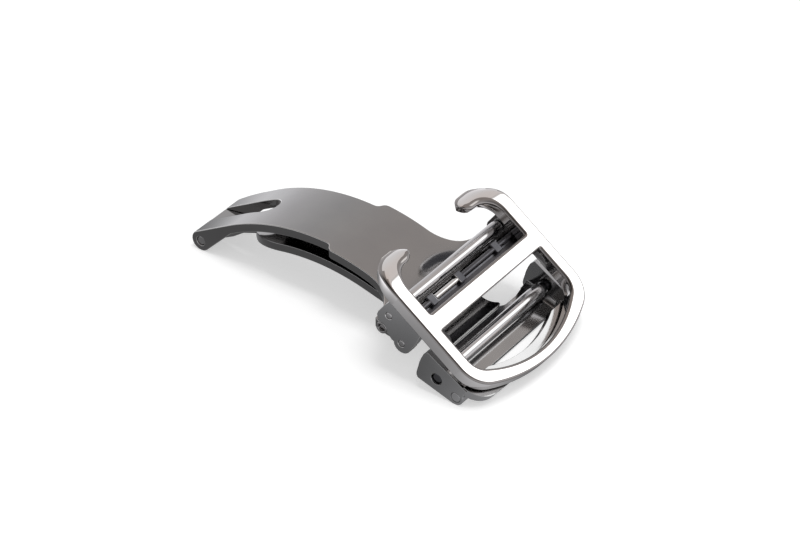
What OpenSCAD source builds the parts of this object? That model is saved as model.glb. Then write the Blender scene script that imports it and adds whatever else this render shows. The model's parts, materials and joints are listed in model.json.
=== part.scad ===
// Deployant watch-strap clasp, closed and lying on a table, in millimetres.
// X runs along the strap from the blade hinge to the D end, Y across it
// (negative Y is the near side) and Z is up. The table is Z = 0. Sizes along X
// are counted from the hinge pin, and every piece is then moved by mid_x, so
// that the origin is under the middle of the whole clasp.

/* [Strap and widths] */
// clear width of the frame's windows between its rails, the strap width
strap_w = 18.1; // [16:0.1:22]
// width of each rail of the top frame
rail_w = 2.05; // [1.4:0.05:3]
// thickness of the top frame
frame_t = 1.62; // [1.2:0.02:2.4]
// width of the frame's cross bar along the strap
bar_w = 2.15; // [1.6:0.05:3]
// length from the cross bar's middle to the frame's D end
d_len = 10.85; // [9:0.05:13]
// length from the cross bar's middle to the hook tips
hook_len = 8.85; // [7:0.05:10]
// radius of the arc of the frame's D end
d_arc_r = 22; // [16:0.5:30]
// radius of the frame's two D corners
d_corner_r = 3.8; // [2.5:0.1:5]
// outer radius of a hook's bend
hook_r = 3.8; // [3:0.1:4.5]
// radius of the hooks' rolled top
curl_r = 4.2; // [3:0.1:6]
// gap between the two hook tips
hook_gap = 10.5; // [8:0.1:13]
// thickness of a side plate
plate_t = 1.2; // [0.8:0.05:1.6]

/* [Frame placement] */
// distance from the hinge pin to the cross bar's middle, along X
frame_x = 36.51; // [32:0.01:42]
// height of the cross bar's top over the table
frame_z = 8.51; // [7:0.01:10]
// slope of the top frame, D end down, in degrees
tilt = 35.76; // [25:0.01:45]

/* [Blades] */
// width of the narrow part of the upper blade and of the lower blade
blade_w = 9.0; // [7:0.1:11]
// width of the upper blade past its step
wide_w = 10.9; // [9:0.1:13]
// thickness of the upper blade
upper_t = 1.1; // [0.8:0.05:1.5]
// radius of the upper blade's arched top
upper_r = 25.85; // [22:0.05:30]
// thickness of the lower blade
lower_t = 1.0; // [0.8:0.05:1.4]
// radius of the lower blade's arched underside
lower_r = 25.69; // [22:0.01:30]
// outer radius of the hinge knuckles
knuckle_r = 1.27; // [1.1:0.01:1.6]
// width of the lower blade's tongue
tongue_w = 2.9; // [2:0.1:4]
// distance from the hinge pin to the closed end of the fork slot
fork_len = 7.95; // [6:0.05:10]
// distance from the hinge pin to the upper blade's step
step_x = 19.0; // [16:0.1:22]

/* [Pins and rollers] */
// radius of the hinge pin
hinge_pin_r = 0.56; // [0.4:0.01:0.8]
// radius of the strap roller
roller_r = 0.8; // [0.6:0.01:1.1]
// radius of the two riveted cross pins' ends
rivet_r = 0.39; // [0.3:0.01:0.5]
// outer radius of the stop tube
tube_r = 0.72; // [0.55:0.01:0.8]
// radius of the two tail pins
tail_pin_r = 0.6; // [0.4:0.01:0.7]
// radius of the spring bar's barrel
barrel_r = 0.9; // [0.75:0.01:1.0]
// radius of the spring bar's tips
tip_r = 0.6; // [0.4:0.01:0.65]
// running clearance round every turning or sliding piece
run = 0.06; // [0.03:0.01:0.1]

/* [Bracket] */
// thickness of the tail hoop between the lugs
hoop_t = 1.1; // [0.7:0.05:1.3]
// depth of the hoop's top below the frame's top
hoop_gap = 1.95; // [1.8:0.05:2.4]
// thickness of each lug
lug_t = 1.2; // [0.9:0.05:1.6]
// thickness of the bracket's floor
floor_t = 0.5; // [0.4:0.02:0.7]
// radius of the fillet between floor and lug
floor_fillet = 1.0; // [0.5:0.05:1.5]

/* [Clamp] */
// radius of the bead along the clamp's edge
bead_r = 0.36; // [0.25:0.01:0.45]
// width of each clamp tooth
tooth_w = 1.06; // [0.8:0.02:1.6]
// Y of the three clamp teeth
tooth_near = -6.04; // [-8:0.01:-4]
tooth_mid = -0.9; // [-2:0.01:1]
tooth_far = 6.1; // [4:0.01:8]

/* [Hidden] */
$fn = 96;
half_out = strap_w / 2 + rail_w;
half_in = strap_w / 2;
d_half_in = half_in + 0.3;
side_out = half_out - 0.1;
side_in = side_out - plate_t;
lug_out = side_out - 0.1;
lug_in = lug_out - lug_t;
hinge_z = knuckle_r;
up_cx = 17.17;
up_cz = hinge_z - 18.47;
low_cx = 16.91;
low_cz = hinge_z - 21.77;
up_in_r = upper_r - upper_t;
low_out_r = lower_r + lower_t;
blade_h = blade_w / 2;
wide_h = wide_w / 2;
tongue_h = tongue_w / 2;
slot_h = tongue_h + 0.1;
neck_h = 0.8 * blade_h;
// the flare between the blade's neck and the floor's edge, in the floor's plane
flare_q = 1.75;
flare_c = [-1.4, neck_h + flare_q + 0.25];
flare_end = flare_c[1] - sqrt(pow(flare_q, 2) - pow(flare_c[0], 2));
floor_len = 4.62;
// the hoop starts here on each side
hoop_x = d_len - 3.65;

// points of the sloping frame's own plane, in the X-Z plane of the clasp
function fx(x, z) = frame_x + x * cos(tilt) + z * sin(tilt);
function fz(x, z) = frame_z - x * sin(tilt) + z * cos(tilt);

// cross axes: strap roller, blade pin, stop tube, spring bar and tail pin
roller_fx = -3.85;
roller_fz = -3.27;
pin_fx = -0.75;
pin_fz = -4.72;
roller_x = fx(roller_fx, roller_fz);
roller_z = fz(roller_fx, roller_fz);
pin_x = fx(pin_fx, pin_fz);
pin_z = fz(pin_fx, pin_fz);
tube_x = 30.45;
tube_z = 6.02;
bar_x = 37.69;
bar_z = 2.3;
tail_x = 40.2;
tail_z = 0.95;
end_knuckle_r = 1.08;

// slope and start of the bracket's floor
floor_a = 17.4;
floor_x = 35.25;
floor_z = 1.4;

// the lower blade leaves its arc here and runs straight to the bracket
low_s = 14.6;
low_tx = low_cx + lower_r * sin(low_s);
low_tz = low_cz + lower_r * cos(low_s);
low_run = (floor_x + 0.02 - low_tx) / cos(low_s);

// lugs and bar
tip_travel = 1.2;
barrel_half = lug_in - 0.7;
barrel_bore = tip_r + 0.14;

// half the clasp's length, from the hinge pin to the middle
mid_x = (fx(d_len, 0) - knuckle_r) / 2;

// moves a piece so that the clasp's middle is at X = 0
module centred() {
  translate([-mid_x, 0, 0])
    children();
}

// points along an arc round (cx, cz), from angle a0 to a1 in n steps
function arc(cx, cz, r, a0, a1, n) =
  [for (i = [0 : n]) [cx + r * cos(a0 + (a1 - a0) * i / n), cz + r * sin(a0 + (a1 - a0) * i / n)]];

// helpers

// profiles drawn in X-Z, each extruded from y0 to y1
module along_y(y0, y1) {
  for (i = [0 : $children - 1])
    translate([0, y1, 0])
      rotate([90, 0, 0])
        linear_extrude(height = y1 - y0)
          children(i);
}

// a round bar along Y
module rod(x, z, r, y0, y1) {
  translate([x, y0, z])
    rotate([-90, 0, 0])
      cylinder(r = r, h = y1 - y0);
}

// puts its children in the sloping frame's plane
module in_frame() {
  translate([frame_x, 0, frame_z])
    rotate([0, tilt, 0])
      children();
}

// puts its children on the bracket's sloping floor
module on_floor() {
  translate([floor_x, 0, floor_z])
    rotate([0, floor_a, 0])
      children();
}

// upper blade

// tangent from the hinge knuckle to the blade's outer arc
up_d = sqrt(pow(up_cx, 2) + pow(up_cz - hinge_z, 2));
up_n = atan2(hinge_z - up_cz, -up_cx) - acos((upper_r - knuckle_r) / up_d);
up_p0 = [knuckle_r * cos(up_n), hinge_z + knuckle_r * sin(up_n)];
up_p1 = [up_cx + upper_r * cos(up_n), up_cz + upper_r * sin(up_n)];
// underside point where the leg's straight part starts, and its tangent point
leg_a = 120.8;
leg_p = [up_cx + up_in_r * cos(leg_a), up_cz + up_in_r * sin(leg_a)];
leg_d = sqrt(pow(leg_p[0], 2) + pow(leg_p[1] - hinge_z, 2));
leg_t = atan2(leg_p[1] - hinge_z, leg_p[0]) + asin(knuckle_r / leg_d) - 90;
leg_q = [knuckle_r * cos(leg_t), hinge_z + knuckle_r * sin(leg_t)];

// the blade's right end: a concave arc that lifts it to the blade pin
end_a = 27;
end_r = 6.8;
end_cx = up_cx + (upper_r + end_r) * sin(end_a);
end_cz = up_cz + (upper_r + end_r) * cos(end_a);

// the line that closes the end knuckle, from the end arc's own end
up_end_n = 92;

module upper_profile() {
  polygon(concat(arc(0, hinge_z, knuckle_r, leg_t, up_n - 360, 24),
                 arc(up_cx, up_cz, upper_r, up_n, 90 - end_a, 44),
                 arc(end_cx, end_cz, end_r, 270 - end_a, 270, 12),
                 arc(pin_x, pin_z, end_knuckle_r, 90, -100, 20),
                 arc(end_cx, end_cz, end_r + upper_t, 268, 270 - end_a, 12),
                 arc(up_cx, up_cz, up_in_r, 90 - end_a, leg_a, 44)));
}

// plan of the upper blade seen from above: one half's points, hinge end first
step_r1 = 0.7;
step_r2 = 0.9;
step_phi = acos(1 - (wide_h - blade_h) / (step_r1 + step_r2));
step_x0 = step_x - (step_r1 + step_r2) * sin(step_phi) / 2;
flare_x = 24.9;
flare_r = 3.8;
flare_h = side_in - 0.14;
up_half = concat([[-2, blade_h]],
                 arc(step_x0, blade_h + step_r1, step_r1, 270, 270 + step_phi, 6),
                 arc(step_x0 + (step_r1 + step_r2) * sin(step_phi), wide_h - step_r2,
                     step_r2, 90 + step_phi * 5 / 6, 90, 5),
                 arc(flare_x, wide_h + flare_r, flare_r, 270, 360, 14),
                 [[flare_x + flare_r, flare_h], [flare_x + 11, flare_h]]);

// points of a half outline and of its mirror image in the X axis
function both(h) = concat(h, [for (i = [len(h) - 1 : -1 : 0]) [h[i][0], -h[i][1]]]);

module upper_blade() {
  color("silver") centred()
    difference() {
      intersection() {
        along_y(-12, 12)
          upper_profile();
        translate([0, 0, -5])
          linear_extrude(height = 30)
            polygon(both(up_half));
      }
      // fork slot
      translate([0, 0, -5])
        linear_extrude(height = 20)
          polygon(concat([[-3, slot_h], [-3, -slot_h]],
                         arc(fork_len - slot_h, 0, slot_h, -90, 90, 16)));
      // the far arm's corner is rounded off at the hinge
      translate([0, 0, -5])
        linear_extrude(height = 20)
          polygon([[-2, blade_h - 1.4], [-1.3, blade_h - 1.2], [-1.0, blade_h - 0.93],
                   [-0.6, blade_h - 0.67], [-0.1, blade_h - 0.45], [0.4, blade_h - 0.27],
                   [1.0, blade_h - 0.12], [1.7, blade_h - 0.02], [2.3, blade_h + 0.02],
                   [2.3, blade_h + 1], [-2, blade_h + 1]]);
      rod(0, hinge_z, hinge_pin_r + 0.02, -6, 6);
      // room for the clamp's cheeks beside the end knuckle
      for (s = [-1, 1])
        rod(pin_x, pin_z, 1.35, s > 0 ? side_in - 1.45 : -side_in - 1,
            s > 0 ? side_in + 1 : -side_in + 1.45);
      rod(pin_x, pin_z, rivet_r + 0.03, -12, 12);
    }
}

module hinge_pin() {
  color("gainsboro") centred()
    rod(0, hinge_z, hinge_pin_r, -blade_h + 0.12, blade_h - 0.12);
}

// lower blade

// polar angle round the lower blade's centre of a point of radius r at X = x
function low_a(x, r) = acos((x - low_cx) / r);

// height of the lower blade's top arc at X = x
function low_top(x) = low_cz + sqrt(pow(low_out_r, 2) - pow(x - low_cx, 2));

module lower_profile() {
  polygon(concat(arc(0, hinge_z, knuckle_r, 290, 146, 18),
                 [[1.37, hinge_z + 1.1]],
                 arc(low_cx, low_cz, low_out_r, low_a(3.6, low_out_r), 90 - low_s, 44),
                 [[low_tx + low_run * cos(low_s) + lower_t * sin(low_s),
                   low_tz - low_run * sin(low_s) + lower_t * cos(low_s)],
                  [low_tx + low_run * cos(low_s), low_tz - low_run * sin(low_s)]],
                 arc(low_cx, low_cz, lower_r, 90 - low_s, low_a(7.4, lower_r), 40),
                 [[5.6, low_top(5.6) - 0.76], [3.9, low_top(3.9) - 0.55]],
                 [[2.4, hinge_z - knuckle_r + 1.15]]));
}

// plan of the lower blade: tongue, rounded shoulder, strip and neck
shoulder_r = 7.4;
shoulder_x = 11.8;
shoulder_a = acos((tongue_h - blade_h + shoulder_r) / shoulder_r);
low_half = concat([[-2, tongue_h]],
                  arc(shoulder_x, blade_h - shoulder_r, shoulder_r, 90 + shoulder_a, 90, 14),
                  [[26.3, blade_h], [floor_x - 2.6, flare_c[1] - flare_q]],
                  arc(floor_x + flare_c[0] - 0.05, flare_c[1], flare_q, -90,
                      -asin((flare_c[1] - flare_end - 0.04) / flare_q), 8),
                  [[floor_x + 1, flare_end]]);

module lower_blade() {
  color("silver") centred()
    difference() {
      intersection() {
        along_y(-6, 6)
          lower_profile();
        translate([0, 0, -5])
          linear_extrude(height = 30)
            polygon(both(low_half));
      }
      rod(0, hinge_z, hinge_pin_r + run, -6, 6);
    }
}

// bracket with its two lugs, floor and tail hoop

module lug_profile() {
  difference() {
    union() {
      polygon([[36.45, 5.33], [35.95, 4.85], [35.66, 4.25], [35.42, 3.6], [35.28, 3.0],
               [35.12, 2.4], [35.05, 2.05], [35.06, 1.78], [35.16, 1.52], [35.34, 1.4],
               [39.92, 0.0], [41.1, 1.4], [41.25, 1.62],
               [fx(hoop_x + 0.6, -2.72), fz(hoop_x + 0.6, -2.72)],
               [fx(hoop_x + 0.6, -2.05), fz(hoop_x + 0.6, -2.05)], [fx(5.3, -2.2), fz(5.3, -2.2)],
               [fx(3.6, -2.38), fz(3.6, -2.38)], [fx(1.9, -2.5), fz(1.9, -2.5)]]);
      translate([tail_x, tail_z])
        circle(r = tail_z);
    }
    // nothing of a lug is lower than the table
    translate([30, -2])
      square([20, 2]);
  }
}

// D-shaped outline with corners of radius rc; the end's arc has radius ra
module d_outline(x0, half, len, ra, rc) {
  cy = half - rc;
  ax = len - ra;
  cx = ax + sqrt(pow(ra - rc, 2) - pow(cy, 2));
  phi = atan2(cy, cx - ax);
  translate([x0, -half])
    square([cx - x0, 2 * half]);
  translate([cx - 0.01, -cy])
    square([0.02, 2 * cy]);
  for (s = [-1, 1])
    translate([cx, s * cy])
      circle(r = rc);
  intersection() {
    translate([ax, 0])
      circle(r = ra, $fn = 360);
    polygon([[cx - 0.01, cy], [ax + 2 * ra * cos(phi), 2 * ra * sin(phi)],
             [ax + 2 * ra * cos(phi), -2 * ra * sin(phi)], [cx - 0.01, -cy]]);
  }
}

// the same outline as points, for walls that nothing bears on
function d_points(x0, half, len, ra, rc) =
  let (cy = half - rc,
       ax = len - ra,
       cx = ax + sqrt(pow(ra - rc, 2) - pow(cy, 2)),
       phi = atan2(cy, cx - ax))
  concat([[x0, half], [x0, -half]],
         arc(cx, -cy, rc, -90, -phi, 10),
         [for (i = [1:15]) [ax + ra * cos(phi * (i / 8 - 1)), ra * sin(phi * (i / 8 - 1))]],
         arc(cx, cy, rc, phi, 90, 10));

module lug_bracket() {
  color("lightgray") centred() {
    difference() {
      union() {
        for (s = [0, 1])
          mirror([0, s, 0])
            along_y(-lug_out, -lug_in)
              lug_profile();
        // floor, its left edge flared out from the blade to the lugs
        on_floor()
          linear_extrude(height = floor_t)
            polygon(both(concat([[0, flare_end]],
                                arc(flare_c[0], flare_c[1], flare_q,
                                    -asin((flare_c[1] - flare_end) / flare_q), 0, 8),
                                [[flare_c[0] + flare_q, lug_in - 2.4],
                                 [0.02, lug_in - 0.6], [0, lug_in + 0.1],
                                 [floor_len, lug_in + 0.1]])));
        // fillets between floor and lugs
        on_floor()
          for (s = [0, 1])
            mirror([0, s, 0])
              translate([0, -lug_in - 0.05, floor_t - 0.05])
                difference() {
                  cube([floor_len, floor_fillet + 0.05, floor_fillet + 0.05]);
                  translate([-1, floor_fillet + 0.05, floor_fillet + 0.05])
                    rotate([0, 90, 0])
                      cylinder(r = floor_fillet + 0.03, h = 7);
                }
        // tail hoop under the frame's rim
        in_frame()
          translate([0, 0, -hoop_gap - hoop_t])
            difference() {
              intersection() {
                linear_extrude(height = hoop_t)
                  polygon(d_points(2, lug_out - 0.05, d_len - 0.7, 150, 3.2));
                translate([hoop_x, -12, -1])
                  cube([8, 24, 4]);
              }
              translate([0, 0, -1])
                linear_extrude(height = 4)
                  polygon(d_points(1.9, lug_in, d_len - 2.4, 16, 3.4));
            }
      }
      rod(bar_x, bar_z, tip_r + run + 0.04, -12, 12);
      rod(tail_x, tail_z, tail_pin_r + 0.02, -12, 12);
      // the blade's straight end enters here
      translate([low_tx, 0, low_tz])
        rotate([0, low_s, 0])
          translate([5, -blade_h - 0.3, -0.02])
            cube([low_run - 5 + 0.02, 2 * blade_h + 0.6, lower_t + 0.04]);
    }
  }
}

// a short pin through each lug's lobe
module tail_pins() {
  color("gainsboro") centred()
    for (s = [0, 1])
      mirror([0, s, 0])
        rod(tail_x, tail_z, tail_pin_r, -lug_out + 0.02, -lug_in);
}

// spring bar

module bar_barrel() {
  color("gainsboro") centred()
    difference() {
      rod(bar_x, bar_z, barrel_r, -barrel_half, barrel_half);
      rod(bar_x, bar_z, barrel_bore, -barrel_half + 0.4, barrel_half - 0.4);
      rod(bar_x, bar_z, tip_r + run, -barrel_half - 1, barrel_half + 1);
    }
}

module bar_tip() {
  // collar held inside the barrel, then the tip that enters the lug
  rod(bar_x, bar_z, barrel_bore - run, -barrel_half + 0.46, -barrel_half + 3.4);
  rod(bar_x, bar_z, tip_r, -lug_out + 0.22, -barrel_half + 1.0);
}

module bar_tip_near() {
  color("gainsboro") centred()
    bar_tip();
}

module bar_tip_far() {
  color("gainsboro") centred()
    mirror([0, 1, 0])
      bar_tip();
}

// close-wound spring between the two tips
module bar_spring() {
  wire = 0.13;
  mean = barrel_bore - wire - 0.07;
  n = 34;
  color("dimgray") centred()
    translate([bar_x, 0, bar_z])
      rotate([90, 0, 0])
        rotate_extrude()
          for (i = [0 : n - 1])
            translate([mean, (i - (n - 1) / 2) * 0.24])
              circle(r = wire, $fn = 24);
}

// top frame

module frame_plan() {
  difference() {
    union() {
      d_outline(0, half_out, d_len, d_arc_r, d_corner_r);
      translate([-hook_len + hook_r, -half_out])
        square([hook_len - hook_r + 0.1, 2 * half_out]);
      for (s = [-1, 1])
        translate([-hook_len + hook_r, s * (half_out - hook_r)])
          circle(r = hook_r);
      translate([-hook_len, -half_out + hook_r])
        square([hook_r + 0.1, 2 * (half_out - hook_r)]);
    }
    // D window
    intersection() {
      d_outline(0, d_half_in, d_len - 1.32, 16, 2.2);
      translate([bar_w / 2, -12])
        square([20, 24]);
    }
    // left window, open between the hook tips
    wr = 2.45;
    wx = -hook_len + 1.95;
    translate([wx + wr, -half_in])
      square([-wx - wr - bar_w / 2, 2 * half_in]);
    for (s = [-1, 1])
      translate([wx + wr, s * (half_in - wr)])
        circle(r = wr);
    translate([wx, -half_in + wr])
      square([wr + 0.1, 2 * (half_in - wr)]);
    translate([-hook_len - 1, -hook_gap / 2 - 0.45])
      square([4, hook_gap + 0.9]);
  }
  // rounded hook tips
  for (s = [-1, 1])
    translate([-hook_len + 0.975, s * (hook_gap / 2 + 0.975)])
      circle(r = 0.975);
}

// the frame seen from the side: flat below, and its top rolls down over the hooks
curl_x = -5.8;
module frame_side() {
  tip_a = asin((hook_len + curl_x + 0.1) / curl_r);
  polygon(concat([[d_len + 1, -frame_t], [d_len + 1, 0]],
                 arc(curl_x, -curl_r, curl_r, 90, 90 + tip_a, 16),
                 [[-hook_len - 0.1, -frame_t]]));
}

module top_frame() {
  color("white") centred()
    in_frame()
      difference() {
        intersection() {
          along_y(-12, 12)
            frame_side();
          translate([0, 0, -8])
            linear_extrude(height = 10)
              frame_plan();
        }
        // the cross bar is thinner than the rails
        translate([-bar_w / 2 - 0.01, -half_in + 0.6, -frame_t - 1])
          cube([bar_w + 0.02, 2 * half_in - 1.2, 1.3]);
      }
}

// side plates

module side_plate(s) {
  difference() {
    mirror([0, s, 0])
      union() {
        along_y(-side_out, -side_in)
          polygon([[fx(-4.95, -frame_t - 0.02), fz(-4.95, -frame_t - 0.02)],
                   [fx(0.1, -frame_t - 0.02), fz(0.1, -frame_t - 0.02)],
                   [fx(0.3, -2.6), fz(0.3, -2.6)], [fx(0.44, -3.7), fz(0.44, -3.7)],
                   [fx(0.43, -4.3), fz(0.43, -4.3)], [fx(-0.5, -4.9), fz(-0.5, -4.9)],
                   [fx(-1.75, -5.5), fz(-1.75, -5.5)],
                   [fx(-2.35, -5.35), fz(-2.35, -5.35)],
                   [fx(-3.9, -5.15), fz(-3.9, -5.15)],
                   [fx(-4.25, -5.02), fz(-4.25, -5.02)],
                   [fx(-4.62, -4.8), fz(-4.62, -4.8)], [fx(-4.88, -4.5), fz(-4.88, -4.5)],
                   [fx(-5.0, -4.1), fz(-5.0, -4.1)], [fx(-5.0, -2.6), fz(-5.0, -2.6)]]);
        rod(fx(-0.62, -4.72), fz(-0.62, -4.72), 1.13, -side_out, -side_in);
      }
    rod(tube_x, tube_z, tube_r + 0.08, -12, 12);
    rod(roller_x, roller_z, rivet_r + 0.04, -12, 12);
    rod(pin_x, pin_z, rivet_r + 0.04, -12, 12);
  }
}

module side_plate_near() {
  color("silver") centred()
    side_plate(0);
}

module side_plate_far() {
  color("silver") centred()
    side_plate(1);
}

module roller_pin() {
  color("gainsboro") centred()
    rod(roller_x, roller_z, rivet_r, -side_out + 0.02, side_out - 0.02);
}

module strap_roller() {
  color("gainsboro") centred()
    difference() {
      rod(roller_x, roller_z, roller_r, -side_in + 0.14, side_in - 0.14);
      rod(roller_x, roller_z, rivet_r + run, -12, 12);
    }
}

module blade_pin() {
  color("gainsboro") centred()
    rod(pin_x, pin_z, rivet_r, -side_out + 0.02, side_out - 0.02);
}

// tube whose ends fill the side plates' notches
module stop_tube() {
  color("silver") centred()
    difference() {
      rod(tube_x, tube_z, tube_r, -side_out + 0.05, side_out - 0.05);
      rod(tube_x, tube_z, 0.42, -12, 12);
    }
}

module tube_pin() {
  color("dimgray") centred()
    rod(tube_x, tube_z, 0.38, -side_out + 0.35, side_out - 0.35);
}

// strap clamp: a comb on two cheeks that swing on the blade pin

module clamp_comb() {
  color("silver") centred()
    in_frame()
      union() {
        along_y(-side_in + 0.2, side_in - 0.2) {
          translate([-2.1, -2.06])
            circle(r = bead_r);
          translate([-2.1, -2.42])
            square([0.7, 0.32]);
          polygon([[-1.6, -2.42], [0.2, -2.42], [0.2, -1.72], [-1.6, -2.12]]);
        }
        for (y = [tooth_near, tooth_mid, tooth_far])
          along_y(y - tooth_w / 2, y + tooth_w / 2)
            polygon([[-2.78, -2.42], [-1.48, -2.42], [-1.48, -1.7], [-2.78, -2.02]]);
      }
}

module clamp_cheek() {
  difference() {
    in_frame()
      along_y(-side_in + 0.3, -side_in + 1.1)
        polygon(concat(arc(pin_fx, pin_fz, 0.95, 160, 380, 18),
                       [[0.15, -2.44], [-1.9, -2.44]]));
    rod(pin_x, pin_z, rivet_r + run, -12, 12);
  }
}

module clamp_cheek_near() {
  color("silver") centred()
    clamp_cheek();
}

module clamp_cheek_far() {
  color("silver") centred()
    mirror([0, 1, 0])
      clamp_cheek();
}

upper_blade();
lower_blade();
lug_bracket();
hinge_pin();
top_frame();
side_plate_near();
side_plate_far();
roller_pin();
strap_roller();
blade_pin();
stop_tube();
tube_pin();
clamp_comb();
clamp_cheek_near();
clamp_cheek_far();
bar_barrel();
bar_spring();
bar_tip_near();
bar_tip_far();
tail_pins();
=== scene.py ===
# %% [markdown]
# # A folding watch clasp in polished steel
# This notebook dresses the clasp. The solid model of it is already made, and loads as a fixed frame
# of named pieces on named bodies. The lesson adds what a solid model lacks: softened edges, turned
# pins, a wound spring, steel that looks like steel, and a small photo studio round it.

# %% Load the solid model
import bpy
import bmesh
import json
import math
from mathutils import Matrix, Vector


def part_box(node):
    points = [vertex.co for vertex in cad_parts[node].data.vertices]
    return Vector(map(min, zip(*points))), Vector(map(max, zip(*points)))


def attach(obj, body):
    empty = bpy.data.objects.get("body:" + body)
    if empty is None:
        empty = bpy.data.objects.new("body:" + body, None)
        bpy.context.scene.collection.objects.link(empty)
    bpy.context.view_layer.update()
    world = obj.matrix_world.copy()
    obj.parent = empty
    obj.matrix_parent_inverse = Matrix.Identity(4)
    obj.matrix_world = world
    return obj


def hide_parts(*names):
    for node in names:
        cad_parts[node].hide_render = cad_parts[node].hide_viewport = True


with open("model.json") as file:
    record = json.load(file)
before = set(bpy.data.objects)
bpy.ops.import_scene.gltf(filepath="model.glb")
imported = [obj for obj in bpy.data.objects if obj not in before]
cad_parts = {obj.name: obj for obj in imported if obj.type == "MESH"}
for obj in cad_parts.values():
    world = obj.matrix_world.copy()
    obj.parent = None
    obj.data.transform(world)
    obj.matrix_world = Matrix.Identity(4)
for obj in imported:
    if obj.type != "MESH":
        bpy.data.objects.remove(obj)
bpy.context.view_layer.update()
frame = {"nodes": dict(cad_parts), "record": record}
nodes = frame["nodes"]
body_of = {n: b for b, ns in frame["record"]["behaviour"]["bodies"].items() for n in ns}
MM = 0.001
scene = bpy.context.scene

# %% [markdown]
# ## The camera
# The photographer stood at the clasp's near right and looked down on it, from about 36 degrees
# above the table. The clasp shows almost no perspective, so the lens is long and stands well back.
# A camera is placed by where it looks, how far away it is, and the two angles round that point.

# %% Place the camera
AZIMUTH = math.radians(35.788)
ELEVATION = math.radians(35.565)
DISTANCE = 310.93
LENS = 126.0
back = Vector((math.sin(AZIMUTH) * math.cos(ELEVATION),
               -math.cos(AZIMUTH) * math.cos(ELEVATION),
               math.sin(ELEVATION)))
look_at = Vector((3.034, 0.0, 5.534)) * MM

camera_data = bpy.data.cameras.new("camera")
camera_data.sensor_width = 36.0
camera_data.lens = LENS
camera_data.clip_start = 0.01
camera_data.clip_end = 20.0
camera = bpy.data.objects.new("camera", camera_data)
scene.collection.objects.link(camera)
camera.rotation_mode = "QUATERNION"
camera.rotation_quaternion = (-back).to_track_quat("-Z", "Y")
camera.location = look_at + back * DISTANCE * MM
scene.camera = camera
print("camera at mm", [round(v / MM, 1) for v in camera.location])

# %% [markdown]
# ## A small kit for node trees
# Materials, the table and the room are all node trees. A helper that adds a node, sets its inputs
# and links them in one line keeps each tree short enough to read. The steps that come back most,
# such as arithmetic, a soft change and a colour ramp, get a helper of their own.

# %% Node helpers
def add(tree, kind, inputs=None, **settings):
    """Adds a node. A value in inputs that is a socket is linked, and any other is set."""
    node = tree.nodes.new(kind)
    for name, value in settings.items():
        setattr(node, name, value)
    for key, value in (inputs or {}).items():
        socket = node.inputs[key]
        if isinstance(value, bpy.types.NodeSocket):
            tree.links.new(value, socket)
        else:
            socket.default_value = value
    return node


def math_node(tree, operation, a, b=0.0, c=0.0, clamp=False):
    """One step of arithmetic, as its output socket."""
    node = add(tree, "ShaderNodeMath", {0: a, 1: b, 2: c}, operation=operation)
    node.use_clamp = clamp
    return node.outputs[0]


def vector_node(tree, operation, *values):
    """One step of arithmetic on vectors. A length comes out as a plain number."""
    node = add(tree, "ShaderNodeVectorMath", dict(enumerate(values)), operation=operation)
    return node.outputs["Value" if operation == "LENGTH" else "Vector"]


def fade(tree, value, start, end, low=0.0, high=1.0):
    """A soft change from low to high while a value goes from start to end."""
    return add(tree, "ShaderNodeMapRange", {"Value": value, "From Min": start, "From Max": end,
                                            "To Min": low, "To Max": high},
               interpolation_type="SMOOTHSTEP").outputs[0]


def colour_steps(tree, value, steps):
    """A colour ramp from pairs of a place and a colour, in rising order."""
    node = add(tree, "ShaderNodeValToRGB", {"Fac": value})
    elements = node.color_ramp.elements
    while len(elements) < len(steps):
        elements.new(0.5)
    for element, (place, colour) in zip(elements, steps):
        element.position = place
        element.color = (*colour, 1.0)
    return node.outputs["Color"]


def seen_straight(tree, path):
    """Is 1 for what the lens sees itself or through glass, and 0 for light and reflections."""
    return math_node(tree, "ADD", path.outputs["Is Camera Ray"], path.outputs["Is Transmission Ray"],
                     clamp=True)


def fresh_material(name):
    """An empty material with its tree and its output node."""
    material = bpy.data.materials.new(name)
    material.use_nodes = True
    material.node_tree.nodes.clear()
    return material, material.node_tree, material.node_tree.nodes.new("ShaderNodeOutputMaterial")


print("helpers", [helper.__name__ for helper in (add, math_node, vector_node, fade, colour_steps,
                                                 seen_straight, fresh_material)])

# %% [markdown]
# ## The table
# The clasp lies on a white table, and only a faint shadow shows. The table is a large plane with a
# matt white finish. It also glows a little for the camera, so it comes out white while the shadow
# stays. Polished steel would mirror a plain white table as plain white, and look like paper. Close
# to a real clasp the table lies in the clasp's own shade, so reflections see a tone that is dark
# there and fades out to white. It reaches farthest to the left, and a second dark spot lies under
# the frame.

# %% The table's finish
SHADE_MIDDLE = (0.006, -0.009, 0.0)
SHADE_TO_RIGHT = (1.1, 1.1, 0.0)
SHADE_TO_LEFT = (0.15, 1.0, 0.0)
SHADE_FADES = (0.003, 0.038)
SPOT_FROM_SHADE = (0.008, 0.011, 0.0)
SPOT_FADES = (0.008, 0.014)
SHADED = (0.15, 0.15, 0.153, 1.0)
UNSHADED = (0.97, 0.97, 1.0, 1.0)


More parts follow.
